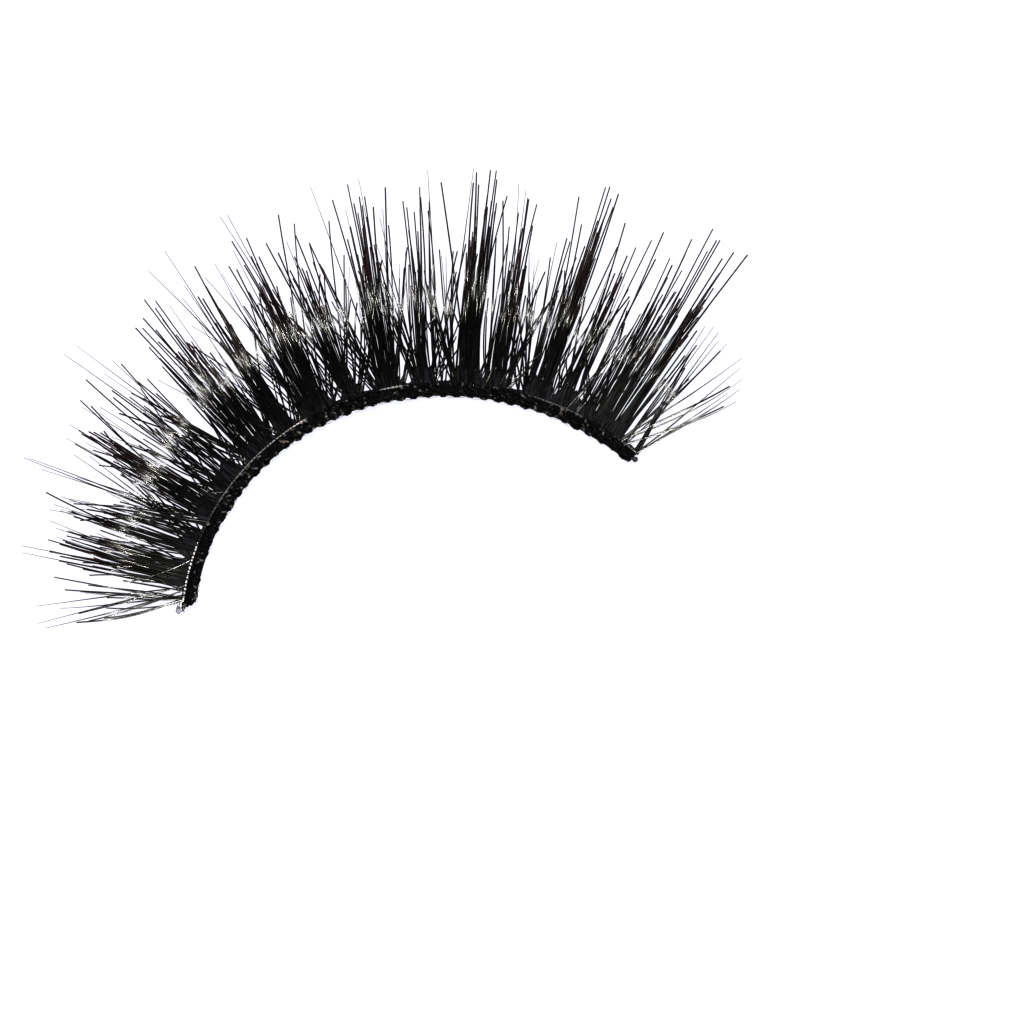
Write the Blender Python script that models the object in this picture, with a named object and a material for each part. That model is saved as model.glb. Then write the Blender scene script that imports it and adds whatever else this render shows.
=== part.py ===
"""A false eyelash strip: a cotton band bent to the lid's curve, with tufts of hair along its outer edge.

The chord of the band runs along +X and the hair points towards +Y. The flat underside of the band lies
at Z = 0. The hair leaves the band level, dips to a belly just above the ground and curls up to its tips.
The origin is the bottom centre of the strip's bounding box.
"""

import math
import random

import bmesh
import bpy
from mathutils import Vector

MM = 0.001

# The band, a flat cord of knotted cotton
BAND_LENGTH = 34.0 * MM
BAND_WIDTH = 0.80 * MM
BAND_THICKNESS = 0.52 * MM
NUB_PITCH = 0.85 * MM
NUB_DEPTH = 0.15 * MM
END_SLANT = 0.45 * MM

# The clear thread on the band's hair side, and the set glue at the two ends
THREAD_DIAMETER = 0.12 * MM
THREAD_PITCH = 0.8 * MM
TAIL_LENGTH = 0.50 * MM
TAIL_FLARE = 0.17 * MM
BEAD_DIAMETER = 0.34 * MM
KNOB_DIAMETER = 0.34 * MM
CLEARANCE = 0.05 * MM

# The hair: reaches are measured outwards from the band's centreline
HAIR_REACH = 13.5 * MM
TIP_LIFT = 3.6 * MM
BELLY_GAP = 0.03 * MM
LOCK_THICKNESS = 0.42 * MM
LOCK_TIP_WIDTH = 0.14 * MM
STRAY_WIDTH = 0.17 * MM
LAYER_STEP = 0.60 * MM
FILM_THICKNESS = 0.16 * MM
FILM_PITCH = 0.50 * MM
FILM_NARROW = 0.40 * MM
FILM_WIDE = 1.10 * MM
ROOT_SINK = 0.12 * MM

# Where along a hair its lowest point lies, and the seed of the small differences between locks
BELLY_SHARE = 0.40
SEED = 7

# The turn of the centreline, clockwise, over each equal share of the band from its left end, in degrees
BEND = (27.72, 26.22, 24.52, 21.50, 22.63)

# The band's cross-section, anticlockwise seen from its right end: across and up are shares of the
# band's width and thickness, and nub is how much of a nub's depth moves the point inwards
BAND_SECTION = (
    # across, up, nub
    (-0.40, 0.00, 0.5),
    (0.40, 0.00, 0.0),
    (0.50, 0.30, 0.0),
    (0.47, 0.62, 0.0),
    (0.24, 1.00, 0.0),
    (0.00, 0.88, 0.0),
    (-0.28, 0.98, 0.3),
    (-0.47, 0.64, 1.0),
    (-0.50, 0.26, 0.8),
)
THREAD_SEAT = (3, 4)

# One nub of the inner edge, from its start to the next nub's: it swells slowly and ends in a step
NUB_PROFILE = (
    # along, swell
    (0.00, 0.10),
    (0.40, 0.55),
    (0.76, 1.00),
)

# The tufts from left to right. Root, waist and tip are places along the band as shares of its length,
# read straight outwards from it, and reach is a share of the hair's reach at the tuft's two edges.
TUFTS = (
    # root from, to, waist from, to, tip from, to, reach from, to, locks, fill
    (0.021, 0.068, 0.024, 0.062, 0.027, 0.064, 0.65, 0.61, 3, 1.3),
    (0.073, 0.112, 0.068, 0.103, 0.077, 0.102, 0.66, 0.62, 3, 0.9),
    (0.138, 0.179, 0.150, 0.174, 0.151, 0.179, 0.70, 0.72, 3, 1.3),
    (0.192, 0.250, 0.204, 0.238, 0.209, 0.248, 0.72, 0.66, 4, 0.6),
    (0.268, 0.324, 0.274, 0.320, 0.279, 0.322, 0.74, 0.80, 4, 1.2),
    (0.338, 0.368, 0.344, 0.362, 0.353, 0.371, 0.74, 0.84, 3, 1.3),
    (0.382, 0.398, 0.385, 0.395, 0.385, 0.393, 0.79, 0.76, 2, 0.7),
    (0.400, 0.441, 0.403, 0.438, 0.407, 0.441, 0.83, 0.84, 4, 1.3),
    (0.465, 0.493, 0.453, 0.481, 0.447, 0.488, 0.79, 0.74, 3, 1.0),
    (0.523, 0.562, 0.527, 0.559, 0.532, 0.565, 0.85, 0.86, 4, 1.3),
    (0.588, 0.621, 0.592, 0.615, 0.594, 0.623, 0.82, 0.86, 3, 1.2),
    (0.656, 0.703, 0.664, 0.688, 0.671, 0.698, 0.95, 0.94, 4, 1.2),
    (0.706, 0.741, 0.712, 0.732, 0.716, 0.741, 0.90, 0.84, 3, 1.1),
    (0.782, 0.824, 0.788, 0.818, 0.802, 0.821, 0.90, 0.99, 4, 1.3),
    (0.829, 0.876, 0.838, 0.865, 0.838, 0.879, 0.82, 0.88, 3, 1.0),
    (0.880, 0.904, 0.888, 0.908, 0.892, 0.910, 0.82, 0.90, 2, 0.8),
    (0.906, 0.938, 0.912, 0.935, 0.919, 0.939, 0.93, 0.97, 3, 1.3),
    (0.939, 0.962, 0.941, 0.956, 0.945, 0.960, 0.95, 0.99, 2, 1.3),
)

# Thin locks that stand apart, from left to right, in the same shares. A place under 0 or over 1 lies
# past the band's end, straight on.
STRAYS = (
    # root, tip, reach
    (0.016, -0.075, 0.65),
    (0.010, -0.050, 0.36),
    (0.018, 0.006, 0.60),
    (0.030, 0.031, 0.75),
    (0.112, 0.147, 0.65),
    (0.124, 0.117, 0.87),
    (0.186, 0.193, 0.78),
    (0.226, 0.219, 0.94),
    (0.300, 0.311, 0.86),
    (0.346, 0.332, 0.93),
    (0.432, 0.412, 0.97),
    (0.456, 0.468, 0.88),
    (0.512, 0.506, 0.94),
    (0.552, 0.578, 0.90),
    (0.622, 0.635, 0.93),
    (0.648, 0.636, 0.88),
    (0.756, 0.771, 0.73),
    (0.770, 0.781, 0.92),
    (0.842, 0.835, 0.87),
    (0.968, 0.962, 0.66),
    (0.974, 1.000, 0.62),
    (0.982, 1.062, 0.56),
    (0.992, 0.972, 0.54),
)

# Stations along a lock and along a stray: t runs from root to tip, width goes from the root's (0)
# through the waist's (1) to the tip's (2), and depth is a share of the lock's thickness
LOCK_STATIONS = (
    # t, width, depth
    (0.00, 0.0, 0.42),
    (0.16, 0.5, 0.75),
    (0.38, 1.0, 1.00),
    (0.60, 1.2, 0.86),
    (0.82, 1.6, 0.54),
    (1.00, 2.0, 0.30),
)
STRAY_STATIONS = (
    # t, depth
    (0.00, 1.00),
    (0.25, 1.00),
    (0.50, 0.95),
    (0.76, 0.80),
    (1.00, 0.55),
)
LOCK_SECTION = ((-0.5, 0.0), (-0.28, -0.5), (0.28, -0.5), (0.5, 0.0), (0.28, 0.5), (-0.28, 0.5))
STRAY_SECTION = ((-0.5, 0.0), (0.0, -0.5), (0.5, 0.0), (0.0, 0.5))
WAIST_SHARE = 0.42
REACH_SPREAD = 0.20


def arc_step(start, heading, turn, length):
    """The end of an arc that starts with a heading and turns clockwise over its length."""
    half = turn / 2
    chord = length * (math.sin(half) / half if half else 1.0)
    return start + chord * Vector((math.cos(heading - half), math.sin(heading - half)))


def walk_band(share, first_heading):
    """The centreline's point and heading at a share of its length, straight on past either end."""
    point = Vector((0.0, 0.0))
    heading = first_heading
    step = 1.0 / len(BEND)
    inside = min(max(share, 0.0), 1.0)
    for index, degrees in enumerate(BEND):
        part = min(max(inside / step - index, 0.0), 1.0)
        turn = math.radians(degrees) * part
        point = arc_step(point, heading, turn, BAND_LENGTH * step * part)
        heading -= turn
    past = (share - inside) * BAND_LENGTH
    return point + past * Vector((math.cos(heading), math.sin(heading))), heading


def chord_heading():
    """The first heading that lays the band's chord along +X."""
    end = walk_band(1.0, 0.0)[0]
    return -math.atan2(end.y, end.x)


FIRST_HEADING = chord_heading()


def on_plan(share, outwards):
    """The plan point that lies outwards of the centreline at a share of the band's length."""
    point, heading = walk_band(share, FIRST_HEADING)
    return point + outwards * Vector((-math.sin(heading), math.cos(heading)))


def at(share, outwards, up):
    flat = on_plan(share, outwards)
    return Vector((flat.x, flat.y, up))


def smooth(value):
    value = min(max(value, 0.0), 1.0)
    return value * value * (3.0 - 2.0 * value)


def mix(first, second, share):
    return first + (second - first) * share


def remove_old_objects():
    for old in list(bpy.data.objects):
        bpy.data.objects.remove(old, do_unlink=True)


def new_collection(name):
    collection = bpy.data.collections.new(name)
    bpy.context.scene.collection.children.link(collection)
    return collection


def make_material(name, colour, roughness, transmission=0.0):
    material = bpy.data.materials.new(name)
    material.use_nodes = True
    shader = material.node_tree.nodes["Principled BSDF"]
    shader.inputs["Base Color"].default_value = (*colour, 1.0)
    shader.inputs["Roughness"].default_value = roughness
    shader.inputs["Metallic"].default_value = 0.0
    shader.inputs["Transmission Weight"].default_value = transmission
    return material


def loft(name, rings, collection):
    """A closed body through rings of points, all with the same number of points, with flat ends."""
    mesh = bmesh.new()
    loops = [[mesh.verts.new(point) for point in ring] for ring in rings]
    for first, second in zip(loops, loops[1:]):
        for index in range(len(first)):
            following = (index + 1) % len(first)
            mesh.faces.new((first[index], first[following], second[following], second[index]))
    mesh.faces.new(loops[0])
    mesh.faces.new(loops[-1])
    bmesh.ops.recalc_face_normals(mesh, faces=mesh.faces)
    bmesh.ops.triangulate(mesh, faces=[face for face in mesh.faces if len(face.verts) > 4])
    data = bpy.data.meshes.new(name)
    mesh.to_mesh(data)
    mesh.free()
    solid = bpy.data.objects.new(name, data)
    collection.objects.link(solid)
    return solid


def band_stations():
    """Places along the band, in metres from its left end, with the swell of the nub at each."""
    nubs = max(round(BAND_LENGTH / NUB_PITCH), 1)
    pitch = BAND_LENGTH / nubs
    stations = []
    for nub in range(nubs):
        for along, swell in NUB_PROFILE:
            stations.append(((nub + along) * pitch, swell))
    stations.append((BAND_LENGTH, 0.0))
    return stations


def band_ring(along, swell):
    """One section of the band. Near the left end its points lean to the end's slanting cut."""
    slant = END_SLANT * (1.0 - smooth(along / (2.0 * END_SLANT)))
    ring = []
    for across, up, nub in BAND_SECTION:
        share = (along - slant * (across + 0.5)) / BAND_LENGTH
        outwards = across * BAND_WIDTH - nub * swell * NUB_DEPTH
        ring.append(at(share, outwards, up * BAND_THICKNESS))
    return ring


def make_band(collection):
    rings = [band_ring(along, swell) for along, swell in band_stations()]
    band = loft("band", rings, collection)
    band.data.materials.append(make_material("black_cotton", (0.004, 0.004, 0.005), 0.8))
    return band


def thread_seat():
    """Outwards and up of the thread's centre, which lies off the middle of the band's bevelled edge."""
    low, high = (BAND_SECTION[index] for index in THREAD_SEAT)
    edge = Vector(((high[0] - low[0]) * BAND_WIDTH, (high[1] - low[1]) * BAND_THICKNESS))
    middle = Vector(((high[0] + low[0]) / 2 * BAND_WIDTH, (high[1] + low[1]) / 2 * BAND_THICKNESS))
    away = Vector((edge.y, -edge.x)).normalized()
    return middle + away * (THREAD_DIAMETER / 2 + CLEARANCE)


def thread_place(along):
    """The thread's centre at a distance from the band's left end, past which its tail swings out."""
    seat = thread_seat()
    flare = smooth(-along / TAIL_LENGTH)
    up = mix(seat.y, BEAD_DIAMETER / 2 + BELLY_GAP, flare)
    return at(along / BAND_LENGTH, seat.x + TAIL_FLARE * flare, up)


def make_thread(collection):
    count = max(round((BAND_LENGTH + TAIL_LENGTH) / THREAD_PITCH), 2)
    curve = bpy.data.curves.new("edge_thread", "CURVE")
    curve.dimensions = "3D"
    curve.bevel_depth = THREAD_DIAMETER / 2
    curve.bevel_resolution = 2
    curve.use_fill_caps = True
    spline = curve.splines.new("POLY")
    spline.points.add(count)
    for index, point in enumerate(spline.points):
        place = thread_place(mix(-TAIL_LENGTH, BAND_LENGTH, index / count))
        point.co = (*place, 1.0)
    thread = bpy.data.objects.new("edge_thread", curve)
    collection.objects.link(thread)
    thread.data.materials.append(make_material("clear_thread", (0.62, 0.60, 0.55), 0.3, 0.4))
    return thread


def make_drop(name, centre, diameter, colour, collection):
    """A small drop of set glue."""
    bpy.ops.mesh.primitive_uv_sphere_add(segments=14, ring_count=8, radius=diameter / 2, location=centre)
    drop = bpy.context.active_object
    drop.name = name
    drop.data.name = name
    drop.data.shade_smooth()
    for old in drop.users_collection:
        old.objects.unlink(drop)
    collection.objects.link(drop)
    drop.data.materials.append(make_material(name + "_glue", colour, 0.1, 0.8))
    return drop


def make_end_bead(collection):
    tail = thread_place(-TAIL_LENGTH)
    before = thread_place(-0.9 * TAIL_LENGTH)
    onwards = (tail - before).normalized()
    centre = tail + onwards * (BEAD_DIAMETER / 2 + CLEARANCE)
    centre.z = BEAD_DIAMETER / 2 + BELLY_GAP
    return make_drop("end_bead", centre, BEAD_DIAMETER, (0.55, 0.56, 0.60), collection)


def make_end_knob(collection):
    along = BAND_LENGTH + KNOB_DIAMETER / 2 + CLEARANCE
    centre = at(along / BAND_LENGTH, 0.0, KNOB_DIAMETER / 2 + BELLY_GAP)
    return make_drop("end_knob", centre, KNOB_DIAMETER, (0.03, 0.028, 0.032), collection)


def film_start():
    return BAND_WIDTH / 2 + CLEARANCE


def hair_level():
    """The height at which the hair leaves the band."""
    return BAND_THICKNESS * 0.45


def film_depth(share):
    """How far the root film reaches out from the band: wide at the tufts and narrow between them."""
    depth = 0.0
    edge = FILM_WIDE / 2 / BAND_LENGTH
    for root_from, root_to, *_ in TUFTS:
        rise = smooth((share - root_from) / edge + 0.5)
        fall = smooth((root_to - share) / edge + 0.5)
        depth = max(depth, rise * fall)
    return mix(FILM_NARROW, FILM_WIDE, depth)


def film_ring(share):
    low = hair_level() - FILM_THICKNESS / 2
    high = hair_level() + FILM_THICKNESS / 2
    inner = film_start()
    outer = inner + film_depth(share)
    corners = ((inner, low), (outer, low + FILM_THICKNESS / 4), (outer, high - FILM_THICKNESS / 4), (inner, high))
    return [at(share, outwards, up) for outwards, up in corners]


def lock_height(t, length_share, layer):
    """Height of a lock's centre: level at the root, lowest at the belly, and curled up at the tip."""
    belly = BELLY_GAP + LOCK_THICKNESS / 2
    if t < BELLY_SHARE:
        return mix(hair_level(), belly, smooth(t / BELLY_SHARE))
    curl = (t - BELLY_SHARE) / (1.0 - BELLY_SHARE)
    return belly + TIP_LIFT * length_share * curl ** 1.8 + layer * LAYER_STEP * smooth(curl)


def through(root, waist, tip, t):
    """The plan point at t on the smooth curve through a root, a waist and a tip."""
    w = WAIST_SHARE
    at_root = (t - w) * (t - 1.0) / w
    at_waist = t * (1.0 - t) / (w * (1.0 - w))
    at_tip = t * (t - w) / (1.0 - w)
    return root * at_root + waist * at_waist + tip * at_tip


def lock_ring(path, section, t, width, depth):
    """A flat section across a path at t."""
    step = 0.01
    ahead = path(min(t + step, 1.0))
    behind = path(max(t - step, 0.0))
    forward = (ahead - behind).normalized()
    side = Vector((0.0, 0.0, 1.0)).cross(forward).normalized()
    rise = forward.cross(side)
    centre = path(t)
    return [centre + side * (across * width) + rise * (up * depth) for across, up in section]


def make_path(root, waist, tip, length_share, layer):
    def path(t):
        flat = through(root, waist, tip, t)
        return Vector((flat.x, flat.y, lock_height(t, length_share, layer)))

    return path


def root_point(share):
    return on_plan(share, film_start() + ROOT_SINK)


def lock_width(widths, place):
    root_width, waist_width, tip_width = widths
    if place < 1.0:
        return mix(root_width, waist_width, place)
    return mix(waist_width, tip_width, place - 1.0)


def make_tuft(number, tuft, dice, collection):
    """The locks of one tuft, side by side at the root and apart at the tips."""
    root_from, root_to, waist_from, waist_to, tip_from, tip_to, reach_from, reach_to, count, fill = tuft
    waist_out = WAIST_SHARE * HAIR_REACH * (reach_from + reach_to) / 2
    waist_span = (on_plan(waist_to, waist_out) - on_plan(waist_from, waist_out)).length
    root_span = (root_to - root_from) * BAND_LENGTH
    widths = (root_span / count * 1.15, waist_span / count * fill, LOCK_TIP_WIDTH)
    locks = []
    for index in range(count):
        place = (index + 0.5) / count
        edge = index / (count - 1)
        shorter = REACH_SPREAD * dice.random() * (index % 2)
        reach = mix(reach_from, reach_to, edge) * (1.0 - shorter)
        root = root_point(mix(root_from, root_to, place))
        waist = on_plan(mix(waist_from, waist_to, place), WAIST_SHARE * reach * HAIR_REACH)
        tip = on_plan(mix(tip_from, tip_to, edge), reach * HAIR_REACH)
        layer = index % 2 + 0.3 * dice.random()
        path = make_path(root, waist, tip, reach, layer)
        rings = []
        for t, width, depth in LOCK_STATIONS:
            rings.append(lock_ring(path, LOCK_SECTION, t, lock_width(widths, width), depth * LOCK_THICKNESS))
        locks.append(loft(f"lock_{number:02d}_{index}", rings, collection))
    return locks


def make_stray(number, stray, dice, collection):
    """One thin lock that stands apart, bowed a little to the side."""
    root_share, tip_share, reach = stray
    root = root_point(root_share)
    tip = on_plan(tip_share, reach * HAIR_REACH)
    across = Vector((root.y - tip.y, tip.x - root.x))
    bow = across * dice.uniform(-0.03, 0.03)
    waist = mix(root, tip, WAIST_SHARE) + bow
    path = make_path(root, waist, tip, reach, 0.4 + 1.2 * dice.random())
    rings = []
    for t, depth in STRAY_STATIONS:
        rings.append(lock_ring(path, STRAY_SECTION, t, STRAY_WIDTH * depth, STRAY_WIDTH * depth))
    return loft(f"stray_{number:02d}", rings, collection)


def shells(mesh):
    """The faces of each separate closed surface in a mesh."""
    waiting = set(mesh.faces)
    while waiting:
        shell = []
        open_faces = [waiting.pop()]
        while open_faces:
            face = open_faces.pop()
            shell.append(face)
            for edge in face.edges:
                beside = waiting.intersection(edge.link_faces)
                waiting -= beside
                open_faces += beside
        yield shell


def shell_volume(shell):
    """The volume that a closed surface holds."""
    volume = 0.0
    for face in shell:
        corners = [vertex.co for vertex in face.verts]
        for second, third in zip(corners[1:], corners[2:]):
            volume += corners[0].dot(second.cross(third)) / 6.0
    return volume


def keep_outer_shell(data):
    """Fills the sealed pockets that are left where locks cross, so that the body is solid throughout."""
    mesh = bmesh.new()
    mesh.from_mesh(data)
    surfaces = list(shells(mesh))
    outer = max(surfaces, key=shell_volume)
    pockets = [face for shell in surfaces if shell is not outer for face in shell]
    bmesh.ops.delete(mesh, geom=pockets, context="FACES")
    mesh.to_mesh(data)
    mesh.free()


def fuse(body, cutters):
    """Joins every object of the cutters' collection to a body."""
    union = body.modifiers.new("fuse_locks", "BOOLEAN")
    union.operation = "UNION"
    union.solver = "EXACT"
    union.operand_type = "COLLECTION"
    union.collection = cutters
    bpy.context.view_layer.update()
    graph = bpy.context.evaluated_depsgraph_get()
    joined = bpy.data.meshes.new_from_object(body.evaluated_get(graph))
    body.modifiers.remove(union)
    keep_outer_shell(joined)
    joined.name = body.name
    body.data = joined


def make_fringe(collection, cutters):
    """The root film with every lock fused to it."""
    steps = max(round(BAND_LENGTH / FILM_PITCH), 8)
    rings = [film_ring(step / steps) for step in range(steps + 1)]
    fringe = loft("lash_fringe", rings, collection)
    dice = random.Random(SEED)
    locks = []
    for number, tuft in enumerate(TUFTS):
        locks += make_tuft(number, tuft, dice, cutters)
    for number, stray in enumerate(STRAYS):
        locks.append(make_stray(number, stray, dice, cutters))
    for lock in locks:
        lock.hide_render = True
        lock.display_type = "WIRE"
    fuse(fringe, cutters)
    fringe.data.materials.append(make_material("black_hair", (0.006, 0.005, 0.005), 0.35))
    return fringe


def centre_on_origin(solids, cutters):
    """Moves everything so that the bottom centre of the strip's bounding box is the origin."""
    bpy.context.view_layer.update()
    graph = bpy.context.evaluated_depsgraph_get()
    corners = []
    for solid in solids:
        final = solid.evaluated_get(graph)
        shape = final.to_mesh()
        corners += [solid.matrix_world @ vertex.co for vertex in shape.vertices]
        final.to_mesh_clear()
    low = Vector(min(corner[axis] for corner in corners) for axis in range(3))
    high = Vector(max(corner[axis] for corner in corners) for axis in range(3))
    shift = Vector(((low.x + high.x) / 2, (low.y + high.y) / 2, low.z))
    for piece in (*solids, *cutters.objects):
        piece.location -= shift


def main():
    remove_old_objects()
    strip = new_collection("false_eyelash_strip")
    cutters = new_collection("locks_to_fuse")
    solids = [
        make_band(strip),
        make_thread(strip),
        make_end_bead(strip),
        make_end_knob(strip),
        make_fringe(strip, cutters),
    ]
    centre_on_origin(solids, cutters)


main()
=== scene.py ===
"""Looks of a false eyelash strip: single hairs, knotted cotton band, clear edge thread and drops of glue."""

import math

import bpy
import numpy as np
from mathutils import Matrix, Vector


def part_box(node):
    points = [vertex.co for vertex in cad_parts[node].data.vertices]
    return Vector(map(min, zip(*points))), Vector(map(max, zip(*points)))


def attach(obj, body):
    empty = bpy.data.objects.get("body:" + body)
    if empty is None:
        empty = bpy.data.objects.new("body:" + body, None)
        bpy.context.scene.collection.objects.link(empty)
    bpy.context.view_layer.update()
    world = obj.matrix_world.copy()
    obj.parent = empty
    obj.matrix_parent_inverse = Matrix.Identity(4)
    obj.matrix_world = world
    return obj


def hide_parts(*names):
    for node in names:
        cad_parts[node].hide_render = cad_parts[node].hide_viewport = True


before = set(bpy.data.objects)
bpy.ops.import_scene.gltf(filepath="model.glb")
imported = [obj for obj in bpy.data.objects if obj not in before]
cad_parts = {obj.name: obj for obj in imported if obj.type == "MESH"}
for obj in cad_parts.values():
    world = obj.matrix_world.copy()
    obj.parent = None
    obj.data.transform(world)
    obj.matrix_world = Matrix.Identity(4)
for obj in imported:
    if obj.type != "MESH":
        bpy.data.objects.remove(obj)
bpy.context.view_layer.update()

MM = 0.001

# The CAD model's sizes that the looks follow
BAND_LENGTH = 34.0 * MM
BAND_WIDTH = 0.80 * MM
BAND_THICKNESS = 0.52 * MM
NUB_PITCH = 0.85 * MM
NUB_DEPTH = 0.15 * MM
END_SLANT = 0.45 * MM
THREAD_DIAMETER = 0.12 * MM
TAIL_LENGTH = 0.50 * MM
TAIL_FLARE = 0.17 * MM
BEAD_DIAMETER = 0.34 * MM
KNOB_DIAMETER = 0.34 * MM
CLEARANCE = 0.05 * MM
HAIR_REACH = 13.5 * MM
TIP_LIFT = 3.6 * MM
BELLY_GAP = 0.03 * MM
LOCK_THICKNESS = 0.42 * MM
LAYER_STEP = 0.60 * MM
FILM_THICKNESS = 0.16 * MM
FILM_NARROW = 0.40 * MM
FILM_WIDE = 1.10 * MM
ROOT_SINK = 0.12 * MM
BELLY_SHARE = 0.40
WAIST_SHARE = 0.42
# Degrees that the band turns through in each fifth of its length, from a fit to the photo's outline
BEND = (27.72, 26.22, 24.52, 21.50, 22.63)
THREAD_SEAT = ((0.47, 0.62), (0.24, 1.00))

# Millimetres along the band, and how much of the clear thread shows there
THREAD_SHOWS = (
    (0.2, 1.0), (3.0, 1.0), (3.6, 0.3), (6.0, 0.7), (9.0, 0.8), (11.8, 0.8), (12.9, 1.0), (13.4, 0.0),
    (17.8, 0.0), (18.1, 0.9), (19.1, 0.9), (19.5, 0.2), (26.8, 0.1), (27.2, 0.7), (30.0, 0.7), (30.4, 0.1),
    (32.3, 0.3), (33.8, 0.8),
)

# Loops of loose fibre on the inner edge: millimetres along the band from and to, and how far each stands off
LOOPS = (
    (6.4, 7.0, 0.08), (13.9, 14.8, 0.15), (14.6, 15.6, 0.12), (16.2, 17.1, 0.14), (19.0, 20.2, 0.16),
    (20.0, 20.7, 0.10), (22.4, 23.1, 0.12), (27.3, 27.9, 0.09),
)

# The tufts of the CAD model, as shares of the band's length and of the hair's reach
TUFTS = (
    # root from, to, waist from, to, tip from, to, reach from, to, short hairs
    (0.021, 0.068, 0.024, 0.062, 0.027, 0.064, 0.65, 0.61, 34),
    (0.073, 0.112, 0.068, 0.103, 0.077, 0.102, 0.66, 0.62, 10),
    (0.138, 0.179, 0.150, 0.174, 0.151, 0.179, 0.70, 0.72, 26),
    (0.192, 0.250, 0.204, 0.238, 0.209, 0.248, 0.72, 0.66, 12),
    (0.268, 0.324, 0.274, 0.320, 0.279, 0.322, 0.74, 0.80, 30),
    (0.338, 0.368, 0.344, 0.362, 0.353, 0.371, 0.74, 0.84, 18),
    (0.382, 0.398, 0.385, 0.395, 0.385, 0.393, 0.79, 0.76, 4),
    (0.400, 0.441, 0.403, 0.438, 0.407, 0.441, 0.83, 0.84, 26),
    (0.465, 0.493, 0.453, 0.481, 0.447, 0.488, 0.79, 0.74, 12),
    (0.523, 0.562, 0.527, 0.559, 0.532, 0.565, 0.85, 0.86, 24),
    (0.588, 0.621, 0.592, 0.615, 0.594, 0.623, 0.82, 0.86, 14),
    (0.656, 0.703, 0.664, 0.688, 0.671, 0.698, 0.95, 0.94, 28),
    (0.706, 0.741, 0.712, 0.732, 0.716, 0.741, 0.90, 0.84, 14),
    (0.782, 0.824, 0.788, 0.818, 0.802, 0.821, 0.90, 0.99, 26),
    (0.829, 0.876, 0.838, 0.865, 0.838, 0.879, 0.82, 0.88, 12),
    (0.880, 0.904, 0.888, 0.908, 0.892, 0.910, 0.82, 0.90, 6),
    (0.906, 0.938, 0.912, 0.935, 0.919, 0.939, 0.93, 0.97, 18),
    (0.939, 0.962, 0.941, 0.956, 0.945, 0.960, 0.95, 0.99, 14),
)

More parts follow.
